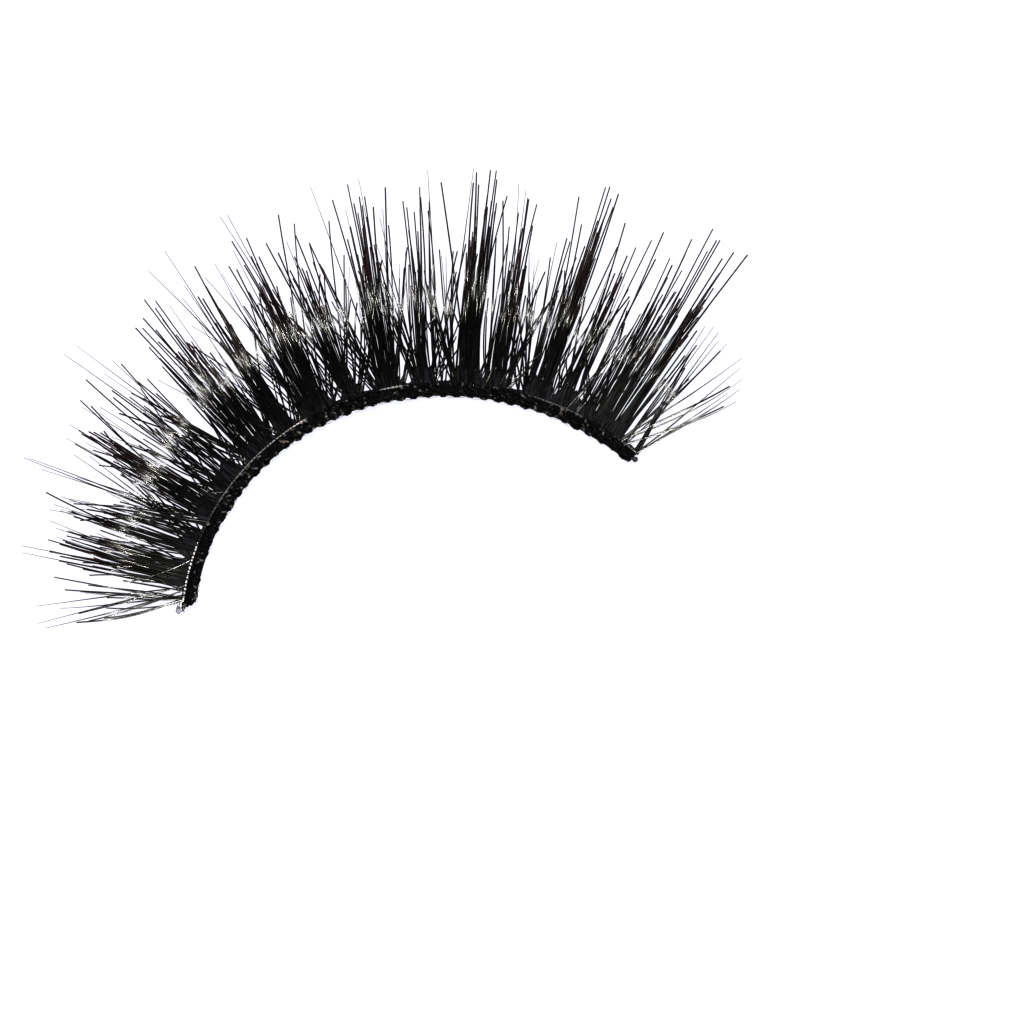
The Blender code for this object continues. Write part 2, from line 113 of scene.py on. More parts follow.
# The hairs that show singly: where each is rooted and where its tip stands along the band, and how far
# out that is, all in millimetres, how many shorter hairs lie beside it, and 1 if it is drawn out fine
HAIRS = (
    # root, tip, out, beside, fine
    # left end
    (0.85, -2.53, 8.74, 1, 1), (0.6, -2.76, 8.23, 1, 1), (0.75, -1.53, 8.99, 0, 1), (0.3, -1.45, 7.6, 0, 1),
    (0.1, -2.23, 6.48, 0, 0), (0.05, -1.72, 4.92, 0, 0), (-0.1, -1.1, 4.9, 0, 0), (-0.05, -0.3, 7.4, 1, 0),
    (-0.05, -0.4, 6.2, 0, 1), (0.05, 0.21, 8.15, 0, 0), (0.1, 0.1, 6.1, 0, 0), (0, -0.5, 4.9, 0, 0),
    (0.5, 0.5, 4.1, 1, 0),
    # first tuft
    (0.95, 0.9, 10.2, 0, 1), (1.15, 1.14, 10.3, 1, 1), (0.8, 0.85, 8, 1, 0), (1, 1.16, 8.65, 2, 0),
    (0.95, 1.05, 8, 1, 0), (1.1, 1.53, 8.9, 1, 0), (1.05, 1.7, 8.5, 1, 1), (1.2, 1.6, 7.9, 1, 0),
    (1.4, 1.76, 7.6, 2, 0), (1.6, 1.45, 7.2, 1, 0), (1.9, 2.02, 8.6, 1, 1), (1.85, 2.22, 9.1, 0, 1),
    (1.75, 1.85, 7.9, 1, 0), (1.6, 2.08, 7.9, 1, 1), (2.25, 1.95, 7.1, 1, 0), (2.6, 2.05, 6.6, 1, 0),
    # second
    (3, 2.65, 8.7, 2, 1), (3.1, 2.75, 8.75, 2, 1), (3.2, 2.6, 9.3, 0, 1), (2.9, 2.8, 8.05, 1, 0),
    (3.05, 2.86, 9.15, 1, 1), (2.05, 3.18, 9.8, 0, 0), (2.1, 2.45, 6.1, 0, 0), (3.6, 3.18, 8.9, 1, 1),
    (3.3, 3.25, 7.1, 1, 1), (3.4, 3.3, 6.5, 2, 0), (3.9, 3, 7.6, 1, 1), (4.15, 3.45, 6, 2, 0),
    # gap
    (4.6, 3.2, 8.4, 1, 1), (4.75, 3.62, 5.9, 1, 0), (4.2, 3.97, 11.8, 0, 1), (4.55, 4, 11.5, 0, 1),
    (4.5, 3.82, 10.6, 0, 1), (3.7, 4.78, 9.2, 0, 1), (3.45, 5, 8.4, 0, 1), (3.95, 4.92, 6.25, 0, 0),
    (3.55, 4, 6.6, 0, 1), (5.05, 3.85, 5.6, 1, 0), (4.9, 4.3, 4.8, 1, 0), (4, 4.6, 4.6, 0, 0),
    # third
    (5.1, 5.13, 9.45, 2, 0), (5.15, 5.15, 10.1, 0, 1), (5.5, 5.62, 10.3, 0, 1), (5.45, 5.55, 9.4, 3, 0),
    (5.4, 5.62, 9.65, 2, 0), (5.5, 5.76, 9.1, 2, 0), (5.6, 5.85, 8.85, 2, 0), (5.5, 5.95, 8.5, 2, 0),
    (5.3, 5.4, 7.6, 2, 0), (4.75, 4.9, 6.25, 0, 0), (5.25, 6.53, 10.5, 0, 0), (5.1, 6.57, 9.8, 0, 0),
    (5.9, 5.35, 8.9, 1, 1), (6.2, 5.95, 5.4, 1, 0), (6.3, 6.2, 4.2, 1, 0), (6.15, 6.05, 4.9, 1, 0),
    # thin fourth
    (7.2, 6.02, 7.8, 0, 1), (7.35, 6.08, 6.9, 1, 0), (6.9, 6.32, 6.2, 1, 0), (6.7, 6.38, 10.2, 0, 1),
    (6.6, 6.55, 9.2, 0, 1), (6.75, 6.62, 6.2, 0, 0), (7.35, 6.72, 9.3, 0, 1), (7.1, 6.98, 7.35, 0, 0),
    (7.05, 7.22, 10.95, 0, 0), (7.15, 7.3, 9.05, 0, 0), (7.4, 7.46, 9.35, 0, 0), (7.8, 7.45, 12.9, 0, 1),
    (8.1, 7.93, 12.6, 0, 1), (7.75, 7.7, 8.3, 0, 0), (8.3, 7.8, 10.3, 0, 1), (7.5, 7.55, 7.1, 2, 0),
    (8.2, 8.05, 7.6, 1, 0), (7.55, 8.46, 9.9, 0, 0), (8.2, 8.3, 10.4, 1, 1), (8.35, 8.66, 8.2, 0, 0),
    (8.4, 8.46, 7.25, 0, 0), (9.3, 7.6, 7.4, 1, 1), (9.45, 7.9, 6.2, 2, 0), (9.2, 8.15, 5.8, 1, 0),
    (9.6, 8.4, 4.6, 1, 0), (8.2, 9.35, 5, 0, 0), (8.5, 9.3, 4.2, 0, 0), (6.2, 7, 5, 1, 0),
    (6, 7.3, 6, 0, 0),
    # fifth
    (10.3, 8.95, 7.7, 0, 1), (9.45, 9.4, 8.05, 0, 0), (9.5, 9.55, 9.4, 2, 0), (9.65, 9.7, 10.8, 0, 0),
    (9.85, 9.88, 10.5, 0, 0), (9.95, 9.95, 9.3, 1, 0), (10.05, 10.14, 10.9, 0, 0),
    (10.05, 10.18, 9.9, 3, 0), (9.9, 10.57, 11.7, 0, 0), (10, 10.66, 10.9, 1, 0), (9.95, 10.84, 11.2, 1, 0),
    (10.4, 10.62, 8.9, 1, 0), (10.6, 10.76, 8.05, 0, 0), (10.7, 10.55, 6.35, 1, 0),
    (10.8, 10.85, 6.2, 1, 0), (10.9, 11, 6.5, 1, 0), (10.8, 11.18, 6.85, 1, 0), (10.6, 11.12, 10.5, 0, 1),
    # gap
    (12.1, 10.95, 5.1, 1, 0), (12.3, 10.8, 6.6, 0, 1), (10.8, 12, 4.6, 1, 0), (10.95, 11.6, 9, 0, 1),
    (12.2, 11.28, 12.85, 0, 1), (12.1, 11.62, 10.4, 0, 1), (11.6, 12.02, 13.26, 0, 1),
    (11.4, 11.5, 6.5, 1, 1),
    # sixth
    (11.7, 11.93, 10.9, 0, 1), (11.75, 11.8, 7, 2, 0), (11.85, 12.1, 9.9, 0, 0), (11.95, 12.2, 9.65, 0, 0),
    (12, 12.16, 8.8, 0, 0), (11.95, 12.6, 11.5, 1, 0), (12.05, 12.55, 10.8, 1, 0), (12.1, 12.3, 7.6, 3, 0),
    (12.35, 12.5, 8.6, 0, 0), (12.4, 12.42, 6.8, 1, 0),
    # seventh and gap
    (14.1, 12.68, 10.6, 0, 1), (13.1, 13.22, 11, 0, 1), (13.6, 13.25, 10.3, 1, 1), (13.3, 13.15, 9.1, 1, 1),
    (14, 12.3, 6.6, 1, 0), (13.8, 12.45, 5.9, 1, 0), (13.95, 12.8, 5.2, 1, 0), (13.1, 13.16, 7, 1, 0),
    (11.9, 13.3, 6.2, 0, 1), (12.6, 13.8, 4.5, 1, 0), (12.8, 13.6, 2.6, 1, 0), (13.55, 12.95, 3.6, 1, 0),
    # eighth
    (13.9, 13.61, 10.5, 0, 0), (13.8, 13.79, 10.1, 1, 0), (13.85, 13.8, 8.6, 1, 0),
    (14.05, 13.98, 11.2, 0, 1), (14.4, 14.09, 11.7, 3, 0), (14.6, 14.12, 13.35, 0, 1),
    (14.7, 14.38, 13.25, 0, 1), (14.2, 14.62, 11.5, 0, 0), (14.35, 14.48, 10.4, 1, 0),
    (14.45, 14.55, 9.9, 2, 0), (14.6, 14.73, 10.2, 0, 0), (14.7, 14.76, 8, 0, 0), (14.1, 14.3, 8.8, 2, 0),
    (13.95, 15.93, 12.05, 0, 0), (14.05, 16.33, 11.25, 0, 0),
    # gap
    (16.7, 14.85, 6.2, 2, 0), (17, 15.05, 5.2, 2, 0), (16.4, 15.1, 4.6, 1, 0), (14.5, 15.8, 6.9, 0, 0),
    (15.2, 15.1, 3.9, 1, 0), (14.95, 16.1, 4, 1, 0), (15.15, 15.4, 2.2, 1, 0),
    # ninth
    (16.2, 15.15, 10.75, 0, 0), (16.1, 15.3, 9.2, 0, 1), (16.15, 15.43, 9.95, 1, 0),
    (16.05, 15.6, 8.75, 1, 0), (16, 15.7, 7.7, 1, 1), (16.35, 15.85, 10.4, 0, 1), (16.2, 15.95, 9.4, 0, 0),
    (16.15, 16.05, 8.6, 1, 0), (16.3, 16.24, 10.55, 0, 0), (16.25, 16.2, 8.4, 1, 0),
    (16.2, 16.52, 8.75, 1, 0), (17.6, 16.62, 9.9, 1, 0), (16.1, 16.62, 9.85, 0, 0), (16, 17.53, 10.8, 0, 0),
    (15.8, 17.76, 8.65, 1, 0), (15.9, 17.85, 7.9, 0, 1), (16.55, 17.9, 5, 1, 0), (16.6, 18.1, 3.6, 1, 0),
    (18.6, 17.82, 11.95, 0, 0), (18.2, 17.22, 13.05, 0, 1), (18.3, 16.75, 6.2, 1, 0),
    (18.1, 16.55, 5.6, 2, 0), (17.65, 16.45, 3.2, 2, 0),
    # tenth
    (18.05, 18.02, 9.5, 1, 0), (18.15, 18.2, 11.25, 0, 1), (18.2, 18.22, 10.2, 2, 0),
    (18.55, 18.43, 12.7, 0, 0), (18.45, 18.52, 11.5, 1, 0), (18.4, 18.6, 10.9, 2, 0),
    (18.45, 18.74, 11.85, 1, 0), (18.5, 18.8, 11.3, 1, 0), (18.6, 18.94, 11.8, 0, 0),
    (18.75, 18.82, 12.95, 0, 1), (18.65, 18.85, 10.6, 2, 0), (18.1, 19.17, 11.1, 0, 0),
    (18.85, 18.95, 8.9, 1, 0), (18.75, 19.66, 12.15, 1, 0), (18.7, 19.48, 10.9, 0, 1),
    (20.3, 19.33, 10.4, 0, 1), (20.6, 19.02, 9.2, 0, 1), (20.4, 19.15, 6.6, 1, 0), (20.2, 19.05, 5.6, 2, 0),
    (19.9, 18.95, 7.2, 0, 1), (19.1, 19.85, 7.6, 0, 1), (19.2, 20.2, 4.2, 1, 0), (19.3, 20.1, 3, 1, 0),
    (20.2, 19.25, 3.7, 1, 0),
    # eleventh
    (20.2, 20.21, 11.25, 0, 0), (20.3, 20.35, 10.85, 0, 0), (20.35, 20.38, 9.5, 1, 0),
    (20.55, 20.6, 10.55, 1, 0), (20.3, 20.85, 12, 1, 0), (20.5, 20.86, 11.4, 0, 0), (20.5, 20.7, 9.4, 1, 0),
    (21.1, 21.12, 10.6, 1, 0), (21.15, 21.18, 11.15, 0, 0), (21.6, 21.15, 13, 0, 1),
    (20.1, 20.15, 8.3, 0, 1),
    # gap
    (22.6, 20.85, 7.1, 2, 0), (22.4, 21.53, 8.3, 0, 0), (22.2, 21.6, 7.9, 0, 1), (21.6, 21.8, 7.9, 0, 1),
    (22.45, 22.1, 8.2, 0, 0), (22.35, 22.16, 6.8, 0, 0), (23.2, 21.62, 12.25, 0, 0),
    (21.8, 22.75, 13.15, 0, 1), (22.7, 22.65, 8.15, 0, 0), (21.2, 22.25, 7, 0, 0), (22.5, 21.3, 4.5, 1, 0),
    (21.1, 22.3, 3.2, 1, 0), (21.3, 21.2, 5.6, 1, 0), (22.1, 21.95, 5, 0, 0),
    # twelfth
    (23, 22.78, 12.3, 1, 0), (23.1, 22.88, 12.9, 1, 0), (23.1, 22.96, 12.2, 1, 0), (23, 22.95, 10.3, 2, 0),
    (22.85, 22.87, 9.1, 1, 0), (23.15, 23.25, 10.5, 3, 0), (23.1, 23.33, 13.1, 1, 0),
    (23.2, 23.28, 11.6, 2, 0), (23.2, 23.52, 13.1, 1, 0), (23.25, 23.6, 12.6, 1, 0),
    (23.4, 23.56, 10.6, 3, 0), (23.45, 23.66, 11.2, 0, 0), (22.6, 22.7, 9.9, 0, 1),
    (24.8, 23.9, 11.4, 0, 0), (23.1, 24.02, 11.7, 0, 0), (24.3, 23.8, 9.2, 1, 0), (24.25, 23.75, 5.6, 1, 0),
    (23.65, 24.3, 3.6, 1, 0),
    # thirteenth
    (25.2, 24.35, 12.5, 0, 1), (25.1, 24.62, 12.2, 0, 1), (25.15, 24.77, 11.75, 2, 0),
    (25.1, 24.82, 11.7, 1, 0), (24.45, 25.15, 11.5, 0, 0), (24.4, 24.52, 10.8, 0, 0),
    (24.75, 24.25, 9.9, 0, 0), (24.6, 24.5, 7.9, 2, 0), (24.5, 24.32, 6.9, 0, 0), (25.5, 25.13, 10.2, 1, 0),
    (25, 24.82, 8.7, 1, 0), (24.5, 24.56, 8.9, 0, 0), (25.2, 25.05, 7.6, 2, 0), (24.95, 25.2, 7.3, 1, 1),
    (25.45, 25.45, 6.1, 1, 0), (24.1, 24.9, 4.8, 1, 0),
    # gap
    (25.6, 25.63, 8.3, 0, 1), (26.1, 25.8, 7.2, 1, 1), (26.7, 26.06, 8.6, 0, 0), (26.6, 26.2, 9.6, 0, 1),
    (26.75, 26.52, 9.95, 0, 0), (26.85, 26.66, 9.8, 0, 0), (26.8, 26.7, 8.05, 1, 0),
    (27.5, 26.54, 12.5, 0, 0), (27.7, 26.91, 10.95, 0, 0), (24.9, 26.8, 7.2, 0, 1), (25.3, 26.3, 5.6, 1, 0),
    (25.4, 26.9, 3.2, 2, 0), (26.6, 25.45, 6.9, 1, 0), (26.2, 25.25, 3.4, 1, 0), (26.4, 25.9, 6.6, 0, 1),
    # fourteenth
    (27.45, 27.34, 13.5, 1, 0), (27.5, 27.46, 13.6, 2, 0), (27.55, 27.63, 12.95, 2, 0),
    (27.6, 27.82, 13.35, 1, 0), (27.5, 27.65, 12.3, 2, 0), (27.45, 27.55, 10.8, 3, 0),
    (27.6, 27.7, 11.2, 3, 0), (27.4, 27.25, 9.8, 1, 0), (27.4, 27.03, 9, 1, 0), (27.75, 27.82, 9.3, 2, 0),
    (27.2, 27.1, 7, 2, 0),
    # gap
    (27.5, 28.46, 10.4, 0, 0), (29.2, 28.38, 11.9, 0, 0), (28.4, 28.5, 9.9, 0, 1), (28.6, 28.62, 7.9, 1, 0),
    (29.2, 27.92, 7, 1, 0), (27.4, 28.85, 7.8, 0, 0), (27.9, 28.65, 4.5, 1, 0), (28.05, 28, 5.8, 1, 0),
    (28.9, 28.1, 3.2, 1, 0),
    # fifteenth
    (28.85, 28.91, 10.15, 0, 0), (28.9, 28.96, 9.1, 3, 0), (29.45, 29.07, 10.8, 0, 0),
    (28.9, 28.75, 8.9, 1, 0), (29.45, 29.48, 11.55, 0, 0), (29.9, 29.76, 12.3, 0, 0),
    (29.8, 29.9, 10.65, 0, 0), (29.5, 29.25, 8.6, 0, 1), (28.3, 29.62, 8, 0, 0), (28.4, 29.4, 6.6, 0, 0),
    (29.1, 30.35, 6.5, 1, 0), (29.3, 30.1, 5, 0, 0), (30.3, 28.8, 4.8, 1, 0), (31, 29.8, 7.2, 1, 0),
    (29.75, 29.7, 7.8, 1, 0), (29.7, 30.05, 3.2, 1, 0),
    # sixteenth
    (30.95, 30.36, 11.1, 0, 0), (30.9, 30.52, 10.8, 0, 0), (30.8, 30.61, 10, 1, 0),
    (30.6, 30.45, 8.2, 2, 0), (31.25, 30.71, 12.7, 0, 0), (31.2, 30.77, 11.7, 2, 0),
    (31, 30.95, 10.8, 1, 0), (30.95, 30.78, 9, 1, 0), (30.1, 30.55, 6.2, 1, 0), (30.5, 30.3, 4.4, 1, 0),
    # seventeenth
    (31.25, 31.12, 9.5, 0, 0), (31.3, 31.3, 10.3, 0, 0), (31.85, 31.38, 12.55, 1, 0),
    (31.95, 31.17, 13.85, 0, 0), (31.85, 31.46, 13.4, 0, 0), (31.9, 31.55, 13.5, 0, 0),
    (31.6, 31.56, 7.85, 1, 0), (31.3, 31.1, 7.8, 1, 0), (32.4, 31.96, 12.65, 0, 0),
    (31.8, 31.75, 7.4, 2, 0),
    # eighteenth
    (32.4, 32.16, 13.35, 0, 0), (32.35, 32.17, 11.85, 2, 0), (32.35, 32.26, 10.9, 3, 0),
    (32.3, 32.58, 13.7, 0, 0), (32.3, 32.42, 9, 3, 0), (32.45, 32.46, 8, 1, 0), (32.6, 32.7, 8.3, 0, 0),
    (32.7, 32.92, 6.7, 1, 0), (33.1, 33.05, 7.6, 1, 0), (33, 32.85, 8.8, 0, 1), (33.15, 33.14, 9.1, 0, 1),
    # right end
    (34, 33.05, 7, 3, 0), (33.9, 33.45, 9, 0, 1), (33.9, 33.62, 8.6, 0, 1), (32.8, 33.96, 8.2, 1, 0),
    (33.2, 33.96, 8.8, 0, 1), (32.7, 35.18, 8.68, 0, 1), (32.8, 36.04, 7.84, 1, 1),
    (33.1, 36.61, 6.52, 1, 1), (34, 35.89, 6.62, 0, 1), (34, 36.3, 7.2, 0, 1), (34, 35.5, 8.2, 0, 1),
)

# All hairs: thickness and its spread, how much of it is left at a fine tip and at a blunt one, how far
# they wander and bow sideways, how much of a lock's thickness they fill up and down, how many layer
# steps apart their tips stand, and the length below which a hair curls no tighter
HAIR_RADIUS = 0.050 * MM
HAIR_SPREAD = (0.82, 1.12)
FINE_TIP = 0.28
BLUNT_TIP = 0.86
WANDER = 0.03 * MM
BOW = 0.09 * MM
LOCK_FILL = 0.42
LAYERS = 1.3
LEAST_CURL = 9.5 * MM
HAIR_STATIONS = 15
HAIR_SIDES = 5
HAIR_SEED = 12

# Where they are rooted, under the band's outer edge, and how high
ROOT_OUT = BAND_WIDTH / 2 - ROOT_SINK
HAIR_LEVEL = BAND_THICKNESS * 0.45

# The shorter hairs beside a single one: millimetres to the first and from there to each next, and the
# share of its length at which they are cut
BESIDE_FIRST = 0.07
BESIDE_MORE = 0.05
BESIDE_CUT = (0.68, 0.95)

# The hairs that fill a tuft: the share of its reach at which they are cut, how far they stray at the
# waist and the tip, as a share of its width, and the share of them that is fine
CORE_CUT = (0.36, 0.78)
CORE_WAIST_STRAY = 0.16
CORE_TIP_STRAY = 0.30
CORE_FINE = 0.25

# The hairs that lean out over a gap: how many from each side if it is so wide a share of the band, how
# far inside the tuft they are rooted, how far they lean and how far out they reach, in millimetres, and
# the share of them that is fine
GAP_HAIRS = 5
GAP_FULL = 0.02
GAP_ROOT = (-0.15, 0.45)
GAP_LEAN = (0.9, 2.6)
GAP_OUT = (3.4, 8.8)
GAP_FINE = 0.3

# The band's yarn and edge cord: radius of a ply, length of a turn, where the cord starts and lies
YARN_PLY = 0.068 * MM
YARN_LAY = 0.62 * MM
CORD_PLY = 0.070 * MM
CORD_LAY = 0.50 * MM
CORD_START = -0.36 * MM
CORD_OUT = 0.29 * MM
CORD_UP = 0.385 * MM

# Painted highlights on the cotton's plies: the length of each dash in millimetres, and how many lie round a
# ply
GLINT_STREAK_LENGTH = 0.28
GLINT_STREAKS_ROUND = 23.0

# Loose fibre ends: how many, how long in millimetres, and the radius of them and of the loops
FUZZ_COUNT = 150
FUZZ_LENGTH = (0.10, 0.34)
FUZZ_RADIUS = 0.012 * MM
LOOP_RADIUS = 0.014 * MM

# The clear thread: length of a turn, and where it doesn't show, how far it sinks and its grey, of 255
THREAD_LAY = 0.42 * MM
THREAD_SINK = 0.07 * MM
SOAKED_GREY = 20

# The turns of yarn that tie it down: their spacing in millimetres, how far off it they lie, how far they
# sink with it, and their radius in millimetres, left and right of 3.5 mm
KNOT_STEP = (0.17, 0.32)
KNOT_OFF = 0.012 * MM
KNOT_SINK = 0.06 * MM
KNOT_HEAVY = 0.052
KNOT_LIGHT = 0.026

# The root film: how ragged its edge is, as shares of its reach, and how far it waves
FILM_RAGGED = (0.7, 1.25)
FILM_WAVE = 0.03 * MM

# Pixels of the photo, 1024 wide, where the band's centreline starts and ends
PHOTO_SIDE = 1024
PHOTO_START = (189.3, 600.2)
PHOTO_END = (632.4, 457.0)
CAMERA_HEIGHT = 0.60
SENSOR = 0.036

# The studio: a lamp over the inside of the band's bend and a soft box beyond the tips, degrees off the
# upright and round to the right, and the curve of the print
LAMP_TILT = 28.0
LAMP_TURN = 6.0
LAMP_SIZE = 0.08
LAMP_POWER = 4.9
BOX_TILT = -46.0
BOX_SIZE = 0.40
BOX_POWER = 1.5
LIGHT_DISTANCE = 0.55
ROOM_STRENGTH = 0.05
LAMP_COLOUR = "#f9faff"
BOX_COLOUR = "#f8f6f6"
ROOM_COLOUR = "#e0e6fb"
PRINT_GAMMA = 0.65


def mix(first, second, share):
    return first + (second - first) * share


def smooth(value):
    value = np.clip(value, 0.0, 1.0)
    return value * value * (3.0 - 2.0 * value)


def band_line(samples=3400):
    """The centreline's heading and place at even steps, from the left end, its chord along +X."""
    shares = np.linspace(0.0, 1.0, samples + 1)
    turns = np.concatenate(([0.0], np.cumsum(np.radians(BEND))))
    headings = -np.interp(shares, np.linspace(0.0, 1.0, len(BEND) + 1), turns)
    middles = (headings[1:] + headings[:-1]) / 2
    step = BAND_LENGTH / samples
    x = np.concatenate(([0.0], np.cumsum(np.cos(middles)))) * step
    y = np.concatenate(([0.0], np.cumsum(np.sin(middles)))) * step
    lean = math.atan2(y[-1], x[-1])
    turned_x = x * math.cos(lean) + y * math.sin(lean)
    turned_y = y * math.cos(lean) - x * math.sin(lean)
    return shares, headings - lean, turned_x, turned_y


LINE = band_line()


def on_plan(share, outwards):
    """Plan places outwards of the centreline at shares of the band's length, straight on past its ends."""
    shares, headings, x, y = LINE
    share = np.asarray(share, float)
    heading = np.interp(share, shares, headings)
    past = (share - np.clip(share, 0.0, 1.0)) * BAND_LENGTH
    flat_x = np.interp(share, shares, x) + past * np.cos(heading) - outwards * np.sin(heading)
    flat_y = np.interp(share, shares, y) + past * np.sin(heading) + outwards * np.cos(heading)
    return np.stack((flat_x, flat_y), -1)


def frame_shift():
    """From the plan's own origin, the band's left end, to the frame's: the end knob is in both."""
    low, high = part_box("end_knob")
    middle = (low + high) / 2
    along = BAND_LENGTH + KNOB_DIAMETER / 2 + CLEARANCE
    return np.array((middle.x, middle.y)) - on_plan(along / BAND_LENGTH, 0.0)


SHIFT = frame_shift()


def at(share, outwards, up):
    """Places in the frame."""
    flat = on_plan(share, outwards) + SHIFT
    up = np.broadcast_to(up, flat.shape[:-1])
    return np.concatenate((flat, up[..., None]), -1)


def linear(hex_colour):
    """The linear colour of an sRGB hex value."""
    parts = (int(hex_colour[index:index + 2], 16) / 255 for index in (1, 3, 5))
    return (*(part / 12.92 if part < 0.04045 else ((part + 0.055) / 1.055) ** 2.4 for part in parts), 1.0)


def dress(tree, node, inputs):
    """Sets or links a node's inputs."""
    for name, value in inputs.items():
        if isinstance(value, bpy.types.NodeSocket):
            tree.links.new(value, node.inputs[name])
        else:
            node.inputs[name].default_value = value


def add(tree, kind, inputs=None, **settings):
    """Adds a node with its settings and its inputs."""
    made = tree.nodes.new(kind)
    for name, value in settings.items():
        setattr(made, name, value)
    dress(tree, made, inputs or {})
    return made


def ramp(tree, factor, stops):
    """A colour ramp through stops of place and hex colour."""
    made = add(tree, "ShaderNodeValToRGB", {"Fac": factor})
    while len(made.color_ramp.elements) < len(stops):
        made.color_ramp.elements.new(0.5)
    for element, (place, colour) in zip(made.color_ramp.elements, stops):
        element.position = place
        element.color = linear(colour)
    return made.outputs["Color"]


def new_material(name):
    """A material, its shader, which its own function dresses, and the object's own coordinates."""
    material = bpy.data.materials.new(name)
    material.use_nodes = True
    tree = material.node_tree
    tree.nodes.clear()
    shader = add(tree, "ShaderNodeBsdfPrincipled")
    add(tree, "ShaderNodeOutputMaterial", {"Surface": shader.outputs["BSDF"]})
    return material, tree, shader, add(tree, "ShaderNodeTexCoord").outputs["Object"]


def drawn_synthetic_hair():
    """Drawn black polyester hair. The dye looks solid where the hair is thick and warms to brown
    towards a fine tip, and the drawn skin gives a clear, slightly warm gleam where it turns upwards."""
    material, tree, shader, objects = new_material("drawn_black_synthetic_hair")
    place = add(tree, "ShaderNodeUVMap", uv_map="hair").outputs["UV"]
    parts = add(tree, "ShaderNodeSeparateXYZ", {"Vector": place}).outputs
    along = ramp(tree, parts["X"], ((0.0, "#060606"), (0.55, "#080707"), (0.82, "#191110"), (1.0, "#3a2b28")))
    spread = add(tree, "ShaderNodeMapRange", {"Value": parts["Y"], "To Min": 0.75, "To Max": 1.3})
    colour = add(tree, "ShaderNodeVectorMath", {0: along, 1: spread.outputs["Result"]}, operation="MULTIPLY")
    scuffs = add(tree, "ShaderNodeTexNoise", {"Vector": objects, "Scale": 4.0 / MM, "Detail": 2.0})
    gloss = add(tree, "ShaderNodeMapRange", {"Value": scuffs.outputs["Fac"], "To Min": 0.19, "To Max": 0.24})
    dress(tree, shader, {
        "Base Color": colour.outputs["Vector"],
        "Roughness": gloss.outputs["Result"],
        "IOR": 1.62,
        "Specular IOR Level": 1.0,
        "Specular Tint": linear("#efede2"),
    })
    return material


def knotted_cotton():
    """Black mercerised cotton, twisted and knotted. It is matt with a faint sheen, and the slant of its
    twist shows as fine ridges, 8 to a millimetre. Along each ply, pale dashes of about 0.3 mm are a
    painted highlight: the glints of the plies, painted into the base colour."""
    material, tree, shader, objects = new_material("knotted_black_cotton")
    fibres = add(tree, "ShaderNodeTexNoise", {"Vector": objects, "Scale": 14.0 / MM, "Detail": 4.0})
    twist = add(
        tree, "ShaderNodeTexWave",
        {"Vector": objects, "Scale": 8.0 / MM / (2 * math.pi), "Distortion": 2.5, "Detail": 2.0},
        bands_direction="DIAGONAL",
    )
    place = add(tree, "ShaderNodeUVMap", uv_map="hair").outputs["UV"]
    # Painted highlight: pale dashes in the base colour along each ply stand for the glints of the plies.
    glint_stretch = (BAND_LENGTH / MM / GLINT_STREAK_LENGTH, GLINT_STREAKS_ROUND, 1.0)
    drawn = add(tree, "ShaderNodeMapping", {"Vector": place, "Scale": glint_stretch})
    painted_glints = add(tree, "ShaderNodeTexNoise", {"Vector": drawn.outputs["Vector"], "Scale": 1.0, "Detail": 2.0})
    colour = ramp(tree, painted_glints.outputs["Fac"], ((0.3, "#020202"), (0.57, "#030303"), (0.70, "#8c867f")))
    height = add(tree, "ShaderNodeMath", {0: twist.outputs["Fac"], 1: fibres.outputs["Fac"]}, operation="ADD")
    height = height.outputs["Value"]
    bump = add(tree, "ShaderNodeBump", {"Height": height, "Strength": 0.7, "Distance": 0.02 * MM})
    dress(tree, shader, {
        "Base Color": colour,
        "Roughness": 0.55,
        "IOR": 1.53,
        "Specular IOR Level": 0.16,
        "Sheen Weight": 0.02,
        "Sheen Roughness": 0.4,
        "Sheen Tint": linear("#8a8a90"),
        "Normal": bump.outputs["Normal"],
    })
    return material


def clear_nylon():
    """Drawn clear nylon thread, 0.06 mm to a ply. It looks pale and glints white at each turn, but for
    the stretches that the black glue has soaked."""
    material, tree, shader, objects = new_material("drawn_clear_nylon")
    place = add(tree, "ShaderNodeUVMap", uv_map="hair").outputs["UV"]
    along = add(tree, "ShaderNodeSeparateXYZ", {"Vector": place}).outputs["X"]
    whole = (BAND_LENGTH + TAIL_LENGTH) / MM
    stops = []
    for mm, shown in THREAD_SHOWS:
        grey = int(SOAKED_GREY + (255 - SOAKED_GREY) * shown ** 2)
        stops.append(((mm + TAIL_LENGTH / MM) / whole, "#" + f"{grey:02x}" * 3))
    haze = add(tree, "ShaderNodeTexNoise", {"Vector": objects, "Scale": 2.0 / MM, "Detail": 3.0})
    clear = ramp(tree, haze.outputs["Fac"], ((0.3, "#b8b3a8"), (0.5, "#e6e2da"), (0.7, "#ffffff")))
    colour = add(tree, "ShaderNodeVectorMath", {0: clear, 1: ramp(tree, along, stops)}, operation="MULTIPLY")
    dress(tree, shader, {
        "Base Color": colour.outputs["Vector"],
        "Roughness": 0.15,
        "IOR": 1.53,
        "Transmission Weight": 0.12,
        "Coat Weight": 0.3,
        "Coat Roughness": 0.08,
    })
    return material


def set_glue(name, dark, pale):
    """Set latex glue, dried from a drop: glassy and smooth, with a little cloud inside."""
    material, tree, shader, objects = new_material(name)
    cloud = add(tree, "ShaderNodeTexNoise", {"Vector": objects, "Scale": 6.0 / MM, "Detail": 3.0})
    dress(tree, shader, {
        "Base Color": ramp(tree, cloud.outputs["Fac"], ((0.3, dark), (0.7, pale))),
        "Roughness": 0.16,
        "IOR": 1.50,
        "Transmission Weight": 0.4,
        "Coat Weight": 0.5,
        "Coat Roughness": 0.10,
    })
    return material


